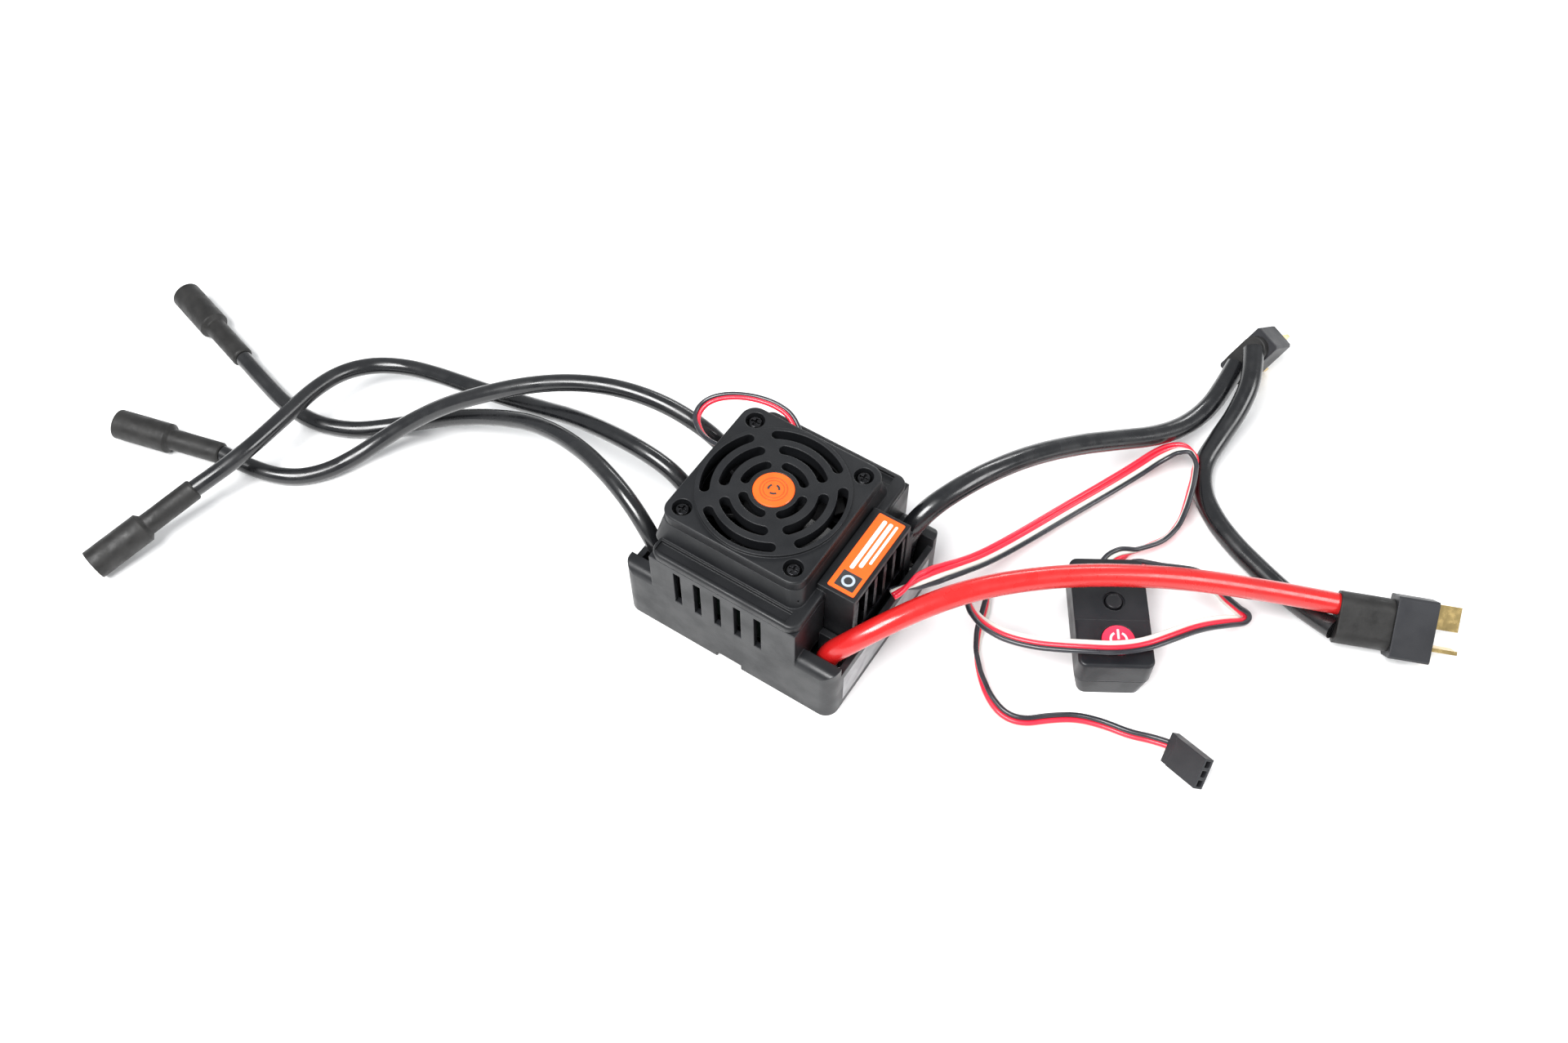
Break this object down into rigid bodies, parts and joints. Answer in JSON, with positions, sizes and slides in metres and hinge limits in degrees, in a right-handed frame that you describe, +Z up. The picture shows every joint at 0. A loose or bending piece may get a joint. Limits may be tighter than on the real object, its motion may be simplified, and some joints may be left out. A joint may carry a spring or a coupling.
{
  "type": "electronic speed controller",
  "caption": "Brushless motor speed controller in a louvred case with a cooling fan, motor leads with bullet sockets, battery leads with plugs, and a switch box on a ribbon lead.",
  "frame": {"origin": "centre of the case's base, on the surface that it stands on", "axes": "+X from the motor-lead end to the battery-lead end, +Y away from the louvred side seen in front, +Z up"},
  "size_m": [0.361, 0.2433, 0.042],
  "materials": {
    "black_plastic": "moulded black plastic, softly glossy",
    "black_cover": "moulded black plastic, satin",
    "black_metal": "black anodised aluminium",
    "fan_plastic": "black fan plastic",
    "dark_steel": "blackened screw steel",
    "orange_trim": "bright orange printed trim",
    "pale_sticker": "pale satin sticker film",
    "board_green": "green circuit board",
    "chip_black": "black component moulding",
    "can_metal": "capacitor can",
    "pad_grey": "soft thermal pad",
    "solder_tin": "tinned copper and solder",
    "copper": "enamelled copper winding",
    "iron": "laminated steel core",
    "magnet": "bonded ferrite magnet",
    "bronze": "sintered bronze sleeve",
    "steel": "ground steel shaft",
    "black_silicone": "glossy black silicone insulation",
    "red_silicone": "glossy red silicone insulation",
    "ribbon_insulation": "flat ribbon of red, white and black strands",
    "fan_wire": "thin red and black pair",
    "shrink_tube": "matte black heat shrink",
    "gold": "gold plated contact",
    "plug_black": "black plug moulding",
    "box_black": "black switch box moulding",
    "button_black": "black button",
    "button_red": "translucent red power button"
  },
  "bodies": {
    "case": {"base_tray": "black_plastic", "upper_cover": "black_cover", "heatsink": "black_metal", "fan_frame": "fan_plastic", "fan_bearing": "bronze", "fan_circuit_board": "board_green", "fan_stator": "iron", "fan_coils": "copper", "fan_guard": "black_cover", "guard_screws": "dark_steel", "case_screws": "dark_steel", "guard_centre_disk": "orange_trim", "label_plate": "orange_trim", "end_sticker": "pale_sticker", "main_circuit_board": "board_green", "power_transistors": "chip_black", "thermal_pad": "pad_grey", "input_capacitors": "can_metal", "control_chip": "chip_black", "motor_terminals": "solder_tin", "battery_terminals": "solder_tin", "motor_lead_near": "black_silicone", "motor_lead_middle": "black_silicone", "motor_lead_far": "black_silicone", "battery_lead_red": "red_silicone", "battery_lead_black": "black_silicone", "battery_lead_jumper": "black_silicone", "switch_ribbon": "ribbon_insulation", "receiver_ribbon": "ribbon_insulation", "fan_lead": "fan_wire", "socket_sleeve_near": "shrink_tube", "socket_sleeve_middle": "shrink_tube", "socket_sleeve_far": "shrink_tube", "bullet_socket_near": "gold", "bullet_socket_middle": "gold", "bullet_socket_far": "gold", "plug_housing_front": "plug_black", "plug_housing_rear": "plug_black", "plug_blades_front": "gold", "plug_blades_rear": "gold", "plug_sleeve_front": "shrink_tube", "plug_sleeve_rear": "shrink_tube", "servo_plug_housing": "plug_black", "servo_plug_contacts": "gold", "switch_case_lower": "box_black", "switch_case_upper": "box_black", "switch_board": "board_green", "tact_switches": "solder_tin"},
    "fan_rotor": {"fan_rotor": "fan_plastic", "rotor_magnet_ring": "magnet", "fan_shaft": "steel"},
    "set_button": {"set_button": "button_black"},
    "power_button": {"power_button": "button_red"}
  },
  "joints": [
    {"name": "fan_spin", "type": "hinge", "parent": "case", "child": "fan_rotor", "pos_m": [-0.0029, 0, 0.031], "axis": [0, 0, 1], "continuous": true},
    {"name": "set_button_press", "type": "slide", "parent": "case", "child": "set_button", "axis": [0, 0, -1], "range_m": [0, 0.0005], "stiffness_N_per_m": 1500},
    {"name": "power_button_press", "type": "slide", "parent": "case", "child": "power_button", "axis": [0, 0, -1], "range_m": [0, 0.0005], "stiffness_N_per_m": 1500}
  ]
}
